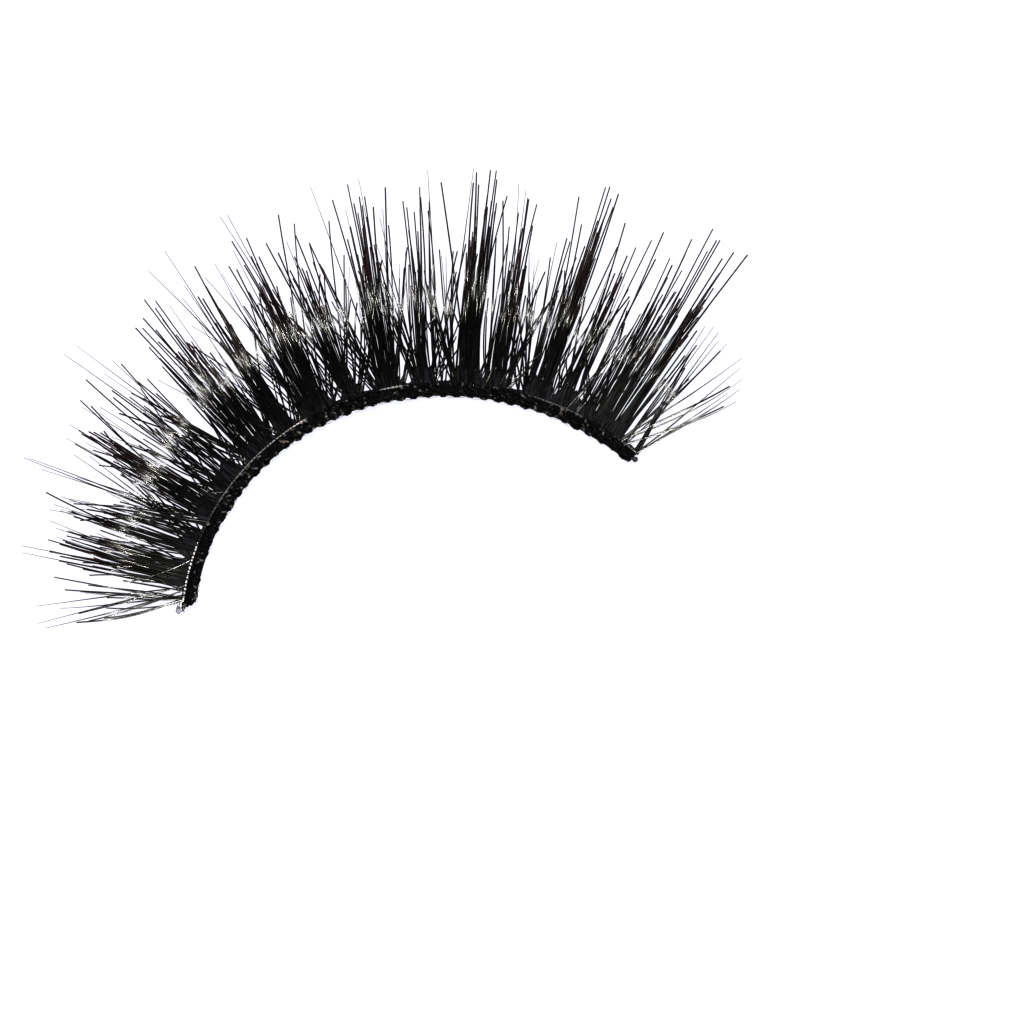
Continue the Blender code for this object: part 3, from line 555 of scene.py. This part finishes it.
def dried_root_film():
    """Black binding glue, dried between the hairs at their roots: a dark blue-grey, nearly matt web."""
    material, tree, shader, objects = new_material("dried_black_binding_glue")
    mottle = add(tree, "ShaderNodeTexNoise", {"Vector": objects, "Scale": 3.0 / MM, "Detail": 5.0})
    height = mottle.outputs["Fac"]
    bump = add(tree, "ShaderNodeBump", {"Height": height, "Strength": 0.6, "Distance": 0.03 * MM})
    colour = ramp(tree, height, ((0.3, "#08080e"), (0.6, "#101019"), (0.8, "#1c1c29")))
    dress(tree, shader, {
        "Base Color": colour,
        "Roughness": 0.55,
        "IOR": 1.50,
        "Specular IOR Level": 0.3,
        "Normal": bump.outputs["Normal"],
    })
    return material


def matt_card():
    """The stage: matt pale card, rolled, with a tooth too fine to see. In full light it looks white."""
    material, tree, shader, objects = new_material("rolled_matt_pale_card")
    tooth = add(tree, "ShaderNodeTexNoise", {"Vector": objects, "Scale": 1.0 / MM, "Detail": 2.0})
    dress(tree, shader, {
        "Base Color": ramp(tree, tooth.outputs["Fac"], ((0.3, "#d2d2d4"), (0.7, "#d6d6d8"))),
        "Roughness": 0.95,
        "Specular IOR Level": 0.1,
    })
    return material


def linked(name, data):
    """A new object in the scene."""
    made = bpy.data.objects.new(name, data)
    bpy.context.scene.collection.objects.link(made)
    return made


def read_places(piece):
    """Where a mesh's vertices are, a row for each."""
    places = np.empty(len(piece.data.vertices) * 3)
    piece.data.vertices.foreach_get("co", places)
    return places.reshape(-1, 3)


def move_places(piece, along, outwards, up):
    """Moves a mesh's vertices."""
    piece.data.vertices.foreach_set("co", np.stack((along, outwards, up), -1).ravel())
    piece.data.update()


def select_only(piece):
    bpy.ops.object.select_all(action="DESELECT")
    piece.select_set(True)
    bpy.context.view_layer.objects.active = piece


def finish_piece(piece, name, material, node):
    """Names a piece, gives it its finish and its body, and hides the CAD node it stands for."""
    piece.name = name
    piece.data.name = name
    piece.data.materials.clear()
    piece.data.materials.append(material)
    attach(piece, "root")
    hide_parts(node)
    return piece


def tubes(paths, radii, sides, shades, closed=False):
    """One mesh of many tubes. Paths hold a row of places for each tube and radii the thickness there."""
    count, stations = radii.shape
    if closed:
        forward = np.roll(paths, -1, axis=1) - np.roll(paths, 1, axis=1)
    else:
        forward = np.gradient(paths, axis=1)
    forward /= np.linalg.norm(forward, axis=2, keepdims=True)
    side = np.cross((0.0, 0.0, 1.0), forward)
    side /= np.maximum(np.linalg.norm(side, axis=2, keepdims=True), 1e-9)
    rise = np.cross(forward, side)
    angles = np.arange(sides) * 2 * math.pi / sides
    ring = side[:, :, None] * np.cos(angles)[:, None] + rise[:, :, None] * np.sin(angles)[:, None]
    points = paths[:, :, None] + ring * radii[:, :, None, None]
    index = np.arange(count * stations * sides).reshape(count, stations, sides)
    lower = index if closed else index[:, :-1]
    upper = np.roll(index, -1, axis=1) if closed else index[:, 1:]
    quads = np.stack((lower, np.roll(lower, -1, axis=2), np.roll(upper, -1, axis=2), upper), -1)
    faces = quads.reshape(-1, 4).tolist()
    if not closed:
        faces += index[:, 0, ::-1].tolist()
        faces += index[:, -1].tolist()
    mesh = bpy.data.meshes.new("tubes")
    mesh.from_pydata(points.reshape(-1, 3).tolist(), [], faces)
    along = np.broadcast_to(np.linspace(0.0, 1.0, stations)[None, :, None], index.shape)
    shade = np.broadcast_to(shades[:, None, None], index.shape)
    places = np.stack((along, shade), -1).reshape(-1, 2)
    corners = np.empty(len(mesh.loops), np.int32)
    mesh.loops.foreach_get("vertex_index", corners)
    layer = mesh.uv_layers.new(name="hair")
    layer.data.foreach_set("uv", places[corners].astype(np.float32).ravel())
    mesh.shade_smooth()
    if not closed:
        ends = np.empty(len(mesh.edges) * 2, np.int32)
        mesh.edges.foreach_get("vertices", ends)
        rings = ends.reshape(-1, 2) // sides
        station = rings[:, 0] % stations
        rim = (rings[:, 0] == rings[:, 1]) & ((station == 0) | (station == stations - 1))
        mesh.edges.foreach_set("use_edge_sharp", rim)
    return linked("tubes", mesh)


def through(root, waist, tip, t):
    """Places at t on smooth curves through roots, waists and tips."""
    w = WAIST_SHARE
    at_root = ((t - w) * (t - 1.0) / w)[..., None]
    at_waist = (t * (1.0 - t) / (w * (1.0 - w)))[..., None]
    at_tip = (t * (t - w) / (1.0 - w))[..., None]
    return root[:, None] * at_root + waist[:, None] * at_waist + tip[:, None] * at_tip


def hair_height(t, reach, layer, turn):
    """Height of hairs: level at the root, lowest at the belly, and curled up from there to the tip."""
    belly = BELLY_GAP + LOCK_THICKNESS / 2
    before = mix(HAIR_LEVEL, belly, smooth(t / turn))
    curl = np.clip((t - turn) / (1.0 - turn), 0.0, 1.0)
    after = belly + TIP_LIFT * reach[:, None] * curl ** 1.8 + layer[:, None] * LAYER_STEP * smooth(curl)
    return np.where(t < turn, before, after)


def strand_paths(rng, start, waist, end, full, cut, layer, side, loose):
    """Places along hairs. Each follows a curve of its full reach, and is cut off at a share of it. The
    looser they lie, the more the places differ where they turn upwards."""
    count = len(full)
    t = np.linspace(0.0, 1.0, HAIR_STATIONS)[None] * cut[:, None]
    flat = through(start, waist, end, t)
    lean = end - start
    across = np.stack((-lean[:, 1], lean[:, 0]), -1)
    across /= np.linalg.norm(across, axis=1, keepdims=True)
    wander = rng.normal(0.0, WANDER, (count, 1)) * np.sin(t * 6.0 + rng.uniform(0.0, 6.28, (count, 1)))
    wander = wander * np.minimum(t * 5.0, 1.0) + side[:, None] * np.minimum(t * 3.0, 1.0)
    wander += rng.normal(0.0, BOW, (count, 1)) * np.sin(t * math.pi)
    flat = flat + across[:, None] * wander[..., None] + SHIFT
    curled = np.maximum(full, LEAST_CURL)
    turn = BELLY_SHARE + rng.normal(0.0, 1.0, (count, 1)) * loose[:, None]
    up = hair_height(t * (full / curled)[:, None], curled / HAIR_REACH, layer, turn)
    depth = rng.uniform(-LOCK_FILL, LOCK_FILL, (count, 1)) * LOCK_THICKNESS * mix(0.2, 1.0, smooth(t / 0.3))
    up = np.maximum(up + depth, HAIR_RADIUS * 1.1)
    return np.concatenate((flat, up[..., None]), -1)


def hair_radii(rng, fine):
    """Thickness along hairs: most are cut blunt, the fine ones draw out to a point."""
    t = np.linspace(0.0, 1.0, HAIR_STATIONS)[None]
    size = HAIR_RADIUS * rng.uniform(*HAIR_SPREAD, (len(fine), 1))
    taper = smooth((t - 0.3) / 0.7)
    return size * np.where(fine[:, None] > 0.5, mix(1.0, FINE_TIP, taper), mix(1.0, BLUNT_TIP, taper))


def looseness(root):
    """How loosely hairs lie, from the share of the band's length where they are rooted."""
    return np.interp(root, (0.0, 0.12, 0.20, 1.0), (0.12, 0.09, 0.030, 0.022))


def crossing_hairs(rng):
    """Rows for the hairs that lean out of each tuft's edges and cross over the gaps."""
    rows = []
    scale = BAND_LENGTH / MM
    for tuft, after in zip(TUFTS, TUFTS[1:]):
        gap = min(1.0, (after[0] - tuft[1]) / GAP_FULL)
        for _ in range(round(GAP_HAIRS * gap)):
            for edge, way in ((tuft[1], 1.0), (after[0], -1.0)):
                root = edge * scale - way * rng.uniform(*GAP_ROOT)
                tip = root + way * rng.uniform(*GAP_LEAN)
                out = rng.uniform(*GAP_OUT)
                fine = float(rng.random() < GAP_FINE)
                rows.append((root, tip, out, fine, 1.0, rng.uniform(0.0, 1.0), 0.0))
    return rows


def make_single_hairs(material):
    """The hairs that show singly, with the shorter ones that lie along them, and those that cross
    between the tufts."""
    rng = np.random.default_rng(HAIR_SEED)
    rows = crossing_hairs(rng)
    for root, tip, out, beside, fine in HAIRS:
        layer = rng.uniform(0.0, LAYERS)
        rows.append((root, tip, out, fine, 1.0, layer, 0.0))
        for index in range(beside):
            side = (BESIDE_FIRST + BESIDE_MORE * index) * (-1) ** index * rng.uniform(0.7, 1.3)
            cut = rng.uniform(*BESIDE_CUT)
            rows.append((root + side, tip, out, 0.0, cut, layer + rng.normal(0.0, 0.2), side))
    root, tip, out, fine, cut, layer, side = np.array(rows).T
    share = MM / BAND_LENGTH
    out = out * MM
    lean = rng.normal(WAIST_SHARE + 0.08, 0.03, len(rows))
    start = on_plan(root * share, ROOT_OUT)
    waist = on_plan(mix(root, tip, lean) * share, mix(ROOT_OUT, out, WAIST_SHARE))
    end = on_plan(tip * share, out)
    paths = strand_paths(rng, start, waist, end, out, cut, layer, side * MM * 0.4, looseness(root * share))
    piece = tubes(paths, hair_radii(rng, fine), HAIR_SIDES, rng.random(len(rows)))
    return finish_piece(piece, "single_hairs", material, "lash_fringe")


def make_tuft_hairs(material):
    """The shorter hairs that fill each tuft, side by side at the root and drawn together at the waist."""
    rng = np.random.default_rng(HAIR_SEED + 1)
    columns = []
    for tuft in TUFTS:
        root_from, root_to, waist_from, waist_to, tip_from, tip_to, reach_from, reach_to, count = tuft
        place = (np.arange(count) + rng.random(count)) / count
        waist_place = np.clip(place + rng.normal(0.0, CORE_WAIST_STRAY, count), -0.05, 1.05)
        tip_place = place + rng.normal(0.0, CORE_TIP_STRAY, count)
        columns.append((
            mix(root_from, root_to, place), mix(waist_from, waist_to, waist_place),
            mix(tip_from, tip_to, tip_place), mix(reach_from, reach_to, place),
        ))
    root, waist, tip, reach = (np.concatenate(parts) for parts in zip(*columns))
    count = len(root)
    cut = rng.uniform(*CORE_CUT, count)
    full = reach * HAIR_REACH
    start = on_plan(root, ROOT_OUT)
    middle = on_plan(waist, mix(ROOT_OUT, full, WAIST_SHARE))
    end = on_plan(tip, full)
    layer = rng.uniform(0.0, LAYERS, count)
    fine = (rng.random(count) < CORE_FINE).astype(float)
    paths = strand_paths(rng, start, middle, end, full, cut, layer, np.zeros(count), looseness(root))
    piece = tubes(paths, hair_radii(rng, fine), HAIR_SIDES, rng.random(count))
    return finish_piece(piece, "tuft_hairs", material, "lash_fringe")


def centreline_curve():
    """A guide along the band's centreline, for pieces that are made straight and then bent to it."""
    shares = np.linspace(0.0, 1.0, 341)
    curve = bpy.data.curves.new("centreline_guide", "CURVE")
    curve.dimensions = "2D"
    spline = curve.splines.new("POLY")
    spline.points.add(len(shares) - 1)
    places = at(shares, 0.0, 0.0)
    spline.points.foreach_set("co", np.concatenate((places, np.ones((len(shares), 1))), 1).ravel())
    return linked("centreline_guide", curve)


def bend(piece, guide):
    """Bends a piece, made straight along +X from the band's left end, to the band's line."""
    select_only(piece)
    modifier = piece.modifiers.new("bend", "CURVE")
    modifier.object = guide
    modifier.deform_axis = "POS_X"
    bpy.ops.object.modifier_apply(modifier=modifier.name)


def make_band_core(material, guide):
    """What the braid lies on: a cord flat underneath, a cylinder squashed to the band's section."""
    bpy.ops.mesh.primitive_cylinder_add(
        vertices=20, radius=0.5, depth=1.0, end_fill_type="TRIFAN", rotation=(0.0, math.pi / 2, 0.0)
    )
    piece = bpy.context.object
    bpy.ops.object.transform_apply(location=True, rotation=True, scale=True)
    bpy.ops.object.mode_set(mode="EDIT")
    bpy.ops.mesh.select_mode(type="EDGE")
    bpy.ops.mesh.select_all(action="DESELECT")
    bpy.ops.object.mode_set(mode="OBJECT")
    for edge in piece.data.edges:
        first, second = (piece.data.vertices[index].co for index in edge.vertices)
        edge.select = abs(first.x - second.x) > 0.5
    bpy.ops.object.mode_set(mode="EDIT")
    bpy.ops.mesh.subdivide(number_cuts=99)
    bpy.ops.mesh.subdivide(number_cuts=2)
    bpy.ops.object.mode_set(mode="OBJECT")
    places = read_places(piece)
    along = (places[:, 0] + 0.5) * BAND_LENGTH
    across = places[:, 1] * 2
    over = places[:, 2] * 2
    square = 1.0 / np.maximum(np.maximum(abs(across), abs(over)), 0.74)
    level = over * square * 0.5 + 0.5
    inner = np.where(across < 0.0, 1.07, 1.0)
    outwards = across * square * BAND_WIDTH / 2 * inner * mix(0.96, 0.62, smooth(level))
    up = level * BAND_THICKNESS * 0.70
    along = along - end_slant(along) * (across / 2 + 0.5)
    move_places(piece, along, outwards, up)
    bend(piece, guide)
    piece.data.shade_smooth()
    return finish_piece(piece, "band_core", material, "band")


def end_slant(along):
    """How much longer the band is on its hair side, near its slantwise cut left end."""
    return END_SLANT * (1.0 - smooth(along / (2.0 * END_SLANT)))


def uneven(rng, along, marks):
    """How uneven yarn lies at distances along the band, drawn at so many marks on it."""
    return np.interp(along, np.linspace(0.0, BAND_LENGTH, marks), rng.normal(0.0, 1.0, marks))


def plied(along, outwards, up, plies, ply_radius, lay):
    """Twisted yarns: a few plies wound round each centreline."""
    turn = along / lay * 2 * math.pi
    paths = []
    for index in range(plies):
        phase = turn + index * 2 * math.pi / plies
        around = outwards + ply_radius * 1.05 * np.cos(phase)
        height = np.maximum(up + ply_radius * 1.05 * np.sin(phase), ply_radius * 1.02)
        paths.append(at(along / BAND_LENGTH, around, height))
    return np.concatenate(paths)


def make_band_braid(material):
    """Three yarns plaited along the band. Each bulges over the inner edge in turn, and that is a nub:
    it swells gradually and is drawn back sharply."""
    rng = np.random.default_rng(HAIR_SEED + 2)
    steps = 720
    along = np.broadcast_to(np.linspace(-0.10 * MM, BAND_LENGTH + 0.02 * MM, steps), (3, steps))
    turn = along / (3.0 * NUB_PITCH) * 2 * math.pi + np.arange(3)[:, None] * 2 * math.pi / 3
    rough = np.stack([uneven(rng, along[0], 90) for _ in range(6)])
    turn = turn + 0.45 * np.sin(turn) + 0.18 * rough[:3]
    swing = BAND_WIDTH / 2 - 2.1 * YARN_PLY
    bulge = np.interp(along / MM, (0.0, 4.0, 6.0, 18.0, 22.0, 33.0), (0.05, 0.05, 0.45, 0.50, 0.55, 0.40))
    outwards = -0.06 * MM + (swing + NUB_DEPTH * bulge) * np.sin(turn) + 0.03 * MM * rough[3:]
    up = BAND_THICKNESS * 0.60 + 0.06 * MM * np.cos(2 * turn)
    along = along - end_slant(along) * (outwards / BAND_WIDTH + 0.5)
    paths = plied(along, outwards, up, 3, YARN_PLY, YARN_LAY)
    radii = np.full(paths.shape[:2], YARN_PLY)
    piece = tubes(paths, radii, 6, rng.random(len(paths)))
    return finish_piece(piece, "band_braid", material, "band")


def make_edge_cord(material):
    """The two-ply cord along the hair side, that the clear thread is laid on."""
    rng = np.random.default_rng(HAIR_SEED + 4)
    steps = 520
    along = np.linspace(CORD_START, BAND_LENGTH + 0.05 * MM, steps)[None]
    outwards = CORD_OUT + 0.012 * MM * uneven(rng, along, 70)
    up = np.full_like(along, CORD_UP)
    along = along - end_slant(along) * (outwards / BAND_WIDTH + 0.5)
    paths = plied(along, outwards, up, 2, CORD_PLY, CORD_LAY)
    radii = CORD_PLY * mix(0.35, 1.0, smooth(np.arange(steps) / 6.0)) + np.zeros((2, 1))
    piece = tubes(paths, radii, 6, rng.random(2))
    return finish_piece(piece, "band_edge_cord", material, "band")


def make_band_fuzz(material):
    """Fibre ends that have worked loose along the inner edge, and a few loops of them."""
    rng = np.random.default_rng(HAIR_SEED + 5)
    count, stations = FUZZ_COUNT, 9
    t = np.linspace(0.0, 1.0, stations)[None]
    root = rng.uniform(0.3, BAND_LENGTH / MM - 0.3, (count, 1)) * MM
    length = rng.uniform(*FUZZ_LENGTH, (count, 1)) * MM
    lean = rng.normal(0.0, 1.2, (count, 1))
    along = root + length * lean * t ** 1.5
    outwards = -BAND_WIDTH / 2 + 0.05 * MM - length * t * (1.0 - 0.35 * t)
    up = BAND_THICKNESS * rng.uniform(0.2, 0.8, (count, 1)) + length * rng.normal(0.0, 0.3, (count, 1)) * t
    radii = np.broadcast_to(FUZZ_RADIUS * (1.0 - 0.6 * t), (count, stations))
    loops = np.array(LOOPS) * MM
    loop_along = mix(loops[:, :1], loops[:, 1:2], t)
    loop_out = -BAND_WIDTH / 2 + 0.02 * MM - loops[:, 2:] * np.sin(t * math.pi)
    along = np.concatenate((along, loop_along))
    outwards = np.concatenate((outwards, loop_out))
    up = np.concatenate((up, np.full(loop_along.shape, BAND_THICKNESS * 0.3)))
    radii = np.concatenate((radii, np.full(loop_along.shape, LOOP_RADIUS)))
    paths = at(along / BAND_LENGTH, outwards, np.maximum(up, 0.02 * MM))
    piece = tubes(paths, radii, 3, rng.random(len(paths)))
    return finish_piece(piece, "band_fuzz", material, "band")


def thread_seat():
    """Outwards and up of the thread's centre, off the middle of the band's bevelled edge."""
    low, high = THREAD_SEAT
    edge = np.array(((high[0] - low[0]) * BAND_WIDTH, (high[1] - low[1]) * BAND_THICKNESS))
    middle = np.array(((high[0] + low[0]) / 2 * BAND_WIDTH, (high[1] + low[1]) / 2 * BAND_THICKNESS))
    away = np.array((edge[1], -edge[0])) / np.linalg.norm(edge)
    return middle + away * (THREAD_DIAMETER / 2 + CLEARANCE)


def thread_shows(along):
    """How much of the clear thread shows at distances along the band."""
    return np.interp(along / MM, *zip(*THREAD_SHOWS))


def make_edge_thread(material):
    """Two plies of clear thread, twisted round each other, from the glue bead to the right end. It
    sinks into the cord but for a few stretches."""
    count = 900
    along = np.linspace(-TAIL_LENGTH, BAND_LENGTH, count)
    seat = thread_seat()
    flare = smooth(-along / TAIL_LENGTH)
    shown = thread_shows(along)
    outwards = seat[0] + TAIL_FLARE * flare - 0.02 * MM * (1.0 - flare)
    up = mix(seat[1], BEAD_DIAMETER / 2 + BELLY_GAP, flare) - (1.0 - flare) * (1.0 - shown) * THREAD_SINK
    ply = THREAD_DIAMETER / 4
    phase = along / THREAD_LAY * 2 * math.pi
    phases = np.stack((phase, phase + math.pi))
    share = np.stack((along, along)) / BAND_LENGTH
    paths = at(share, outwards + ply * np.cos(phases), up + ply * np.sin(phases))
    radii = ply * (1.15 + 0.25 * shown * np.sin(phases * 2.0))
    piece = tubes(paths, radii, 6, np.array((0.2, 0.8)))
    return finish_piece(piece, "edge_thread_plies", material, "edge_thread")


def make_thread_knots(material):
    """The turns of dark yarn that hold the clear thread down, so that it shows as beads."""
    rng = np.random.default_rng(HAIR_SEED + 6)
    seat = thread_seat()
    middle = np.cumsum(rng.uniform(*KNOT_STEP, 260)) * MM
    middle = middle[middle < BAND_LENGTH - 0.1 * MM][:, None]
    angle = np.linspace(0.0, 2 * math.pi, 12, endpoint=False)[None]
    ring = THREAD_DIAMETER / 2 + KNOT_OFF
    outwards = seat[0] - 0.03 * MM + ring * 1.25 * np.cos(angle) + np.zeros_like(middle)
    up = seat[1] - 0.02 * MM - (1.0 - thread_shows(middle)) * KNOT_SINK + ring * np.sin(angle)
    along = middle + 0.04 * MM * np.sin(angle) * rng.normal(0.6, 0.5, middle.shape)
    paths = at(along / BAND_LENGTH, outwards, up)
    thick = np.interp(middle / MM, (3.2, 3.8), (KNOT_HEAVY, KNOT_LIGHT))
    radii = np.broadcast_to(rng.uniform(0.75, 1.15, middle.shape) * thick * MM, outwards.shape)
    piece = tubes(paths, radii, 5, rng.random(len(middle)), closed=True)
    return finish_piece(piece, "thread_knots", material, "edge_thread")


def make_root_film(material, guide):
    """The web of dried glue between the roots: a sheet, drawn out at each tuft, with a ragged edge."""
    bpy.ops.mesh.primitive_grid_add(x_subdivisions=680, y_subdivisions=6, size=1.0)
    piece = bpy.context.object
    rng = np.random.default_rng(HAIR_SEED + 3)
    places = read_places(piece)
    share = places[:, 0] + 0.5
    out = places[:, 1] + 0.5
    depth = np.zeros(len(places))
    edge = FILM_WIDE / 2 / BAND_LENGTH
    for tuft in TUFTS:
        rise = smooth((share - tuft[0]) / edge + 0.5)
        fall = smooth((tuft[1] - share) / edge + 0.5)
        depth = np.maximum(depth, rise * fall)
    ragged = np.interp(share, np.linspace(0.0, 1.0, 260), rng.uniform(*FILM_RAGGED, 260))
    reach = mix(FILM_NARROW * 0.4, FILM_WIDE, depth) * ragged
    inner = BAND_WIDTH / 2 - 0.06 * MM
    outwards = inner + out * reach
    waviness = np.interp(share * 1.7 + out * 0.01, np.linspace(0.0, 1.8, 300), rng.uniform(-1.0, 1.0, 300))
    up = HAIR_LEVEL + waviness * FILM_WAVE
    move_places(piece, share * BAND_LENGTH, outwards, up)
    wall = piece.modifiers.new("wall", "SOLIDIFY")
    wall.thickness = FILM_THICKNESS * 0.6
    wall.offset = 0.0
    bpy.ops.object.modifier_apply(modifier=wall.name)
    bend(piece, guide)
    piece.data.shade_smooth()
    return finish_piece(piece, "root_film", material, "lash_fringe")


def make_drop(name, node, diameter, squash, drawn_to, material):
    """A drop of glue as it set: a ball pulled flat where it rests and drawn out towards a place."""
    low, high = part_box(node)
    middle = (low + high) / 2
    bpy.ops.mesh.primitive_ico_sphere_add(subdivisions=4, radius=diameter / 2)
    piece = bpy.context.object
    pull = Vector(drawn_to) - middle
    for vertex in piece.data.vertices:
        place = vertex.co
        tail = max(0.0, place.normalized().dot(pull.normalized())) ** 6 * pull
        ridge = 1.0 + 0.06 * math.sin(place.x / diameter * 9.0) * math.cos(place.y / diameter * 7.0)
        ball = Vector((place.x * ridge * squash[0], place.y * ridge * squash[1], place.z * squash[2]))
        vertex.co = middle + ball + tail
    piece.data.shade_smooth()
    return finish_piece(piece, name, material, node)


def make_camera():
    """Straight down, long, and rolled and placed so that the band's ends fall on their pixels."""
    start = at(0.0, 0.0, 0.0)
    end = at(1.0, 0.0, 0.0)
    chord = end - start
    across = PHOTO_END[0] - PHOTO_START[0]
    rise = PHOTO_START[1] - PHOTO_END[1]
    pixel = math.hypot(chord[0], chord[1]) / math.hypot(across, rise)
    roll = math.atan2(chord[1], chord[0]) - math.atan2(rise, across)
    right = np.array((math.cos(roll), math.sin(roll)))
    upward = np.array((-math.sin(roll), math.cos(roll)))
    middle = start[:2] + right * (PHOTO_SIDE / 2 - PHOTO_START[0]) * pixel
    middle = middle + upward * (PHOTO_START[1] - PHOTO_SIDE / 2) * pixel
    data = bpy.data.cameras.new("camera")
    data.sensor_width = SENSOR / MM
    data.lens = SENSOR / MM * CAMERA_HEIGHT / (PHOTO_SIDE * pixel)
    data.clip_start = 0.01
    data.clip_end = 10.0
    camera = linked("camera", data)
    camera.location = (middle[0], middle[1], CAMERA_HEIGHT)
    camera.rotation_euler = (0.0, 0.0, roll)
    bpy.context.scene.camera = camera


def make_floor(material):
    """The floor that the strip lies on."""
    bpy.ops.mesh.primitive_plane_add(size=3.0)
    floor = bpy.context.object
    floor.name = "floor"
    floor.data.materials.append(material)


def add_light(name, shape, tilt, turn, size, power, colour, shadows):
    """A light aimed at the strip, its degrees of tilt from upright towards the inside of the band's bend
    and of turn to the right. No camera sees it."""
    data = bpy.data.lights.new(name, "AREA")
    data.shape = shape
    data.size = size
    data.energy = power
    data.color = linear(colour)[:3]
    data.use_shadow = shadows
    tilt, turn = math.radians(tilt), math.radians(turn)
    place = Vector((math.sin(tilt) * math.sin(turn), -math.sin(tilt) * math.cos(turn), math.cos(tilt)))
    light = linked(name, data)
    light.location = place * LIGHT_DISTANCE
    light.rotation_euler = place.to_track_quat("Z", "Y").to_euler()
    light.visible_camera = False


def make_lights():
    """The hairs gleam back the lamp where they turn upwards; it casts no shadow, so the floor stays
    clean. The box lights the floor from beyond the tips, where level and rising hair can't gleam it back
    to a camera above, so they stay black."""
    world = bpy.data.worlds.new("studio")
    world.use_nodes = True
    background = world.node_tree.nodes["Background"]
    dress(world.node_tree, background, {"Color": linear(ROOM_COLOUR), "Strength": ROOM_STRENGTH})
    scene = bpy.context.scene
    scene.world = world
    add_light("lamp", "DISK", LAMP_TILT, LAMP_TURN, LAMP_SIZE, LAMP_POWER, LAMP_COLOUR, False)
    add_light("soft_box", "SQUARE", BOX_TILT, 0.0, BOX_SIZE, BOX_POWER, BOX_COLOUR, True)
    scene.view_settings.view_transform = "Standard"
    scene.view_settings.gamma = PRINT_GAMMA


def main():
    make_camera()
    make_floor(matt_card())
    make_lights()
    guide = centreline_curve()
    hair = drawn_synthetic_hair()
    cotton = knotted_cotton()
    make_single_hairs(hair)
    make_tuft_hairs(hair)
    make_root_film(dried_root_film(), guide)
    make_band_core(cotton, guide)
    make_band_braid(cotton)
    make_edge_cord(cotton)
    make_band_fuzz(cotton)
    make_edge_thread(clear_nylon())
    make_thread_knots(cotton)
    clear = set_glue("set_clear_latex_glue", "#38383c", "#c9c9cd")
    smoky = set_glue("set_smoky_latex_glue", "#2a272c", "#6a6570")
    to_roots = at(-0.05 * MM / BAND_LENGTH, 0.62 * MM, HAIR_LEVEL)
    to_band = at(1.0 - 0.1 * MM / BAND_LENGTH, 0.0, HAIR_LEVEL)
    make_drop("end_bead_drop", "end_bead", BEAD_DIAMETER, (1.0, 1.1, 0.9), to_roots, clear)
    make_drop("end_knob_drop", "end_knob", KNOB_DIAMETER, (1.05, 1.0, 0.95), to_band, smoky)
    bpy.data.objects.remove(guide)


main()
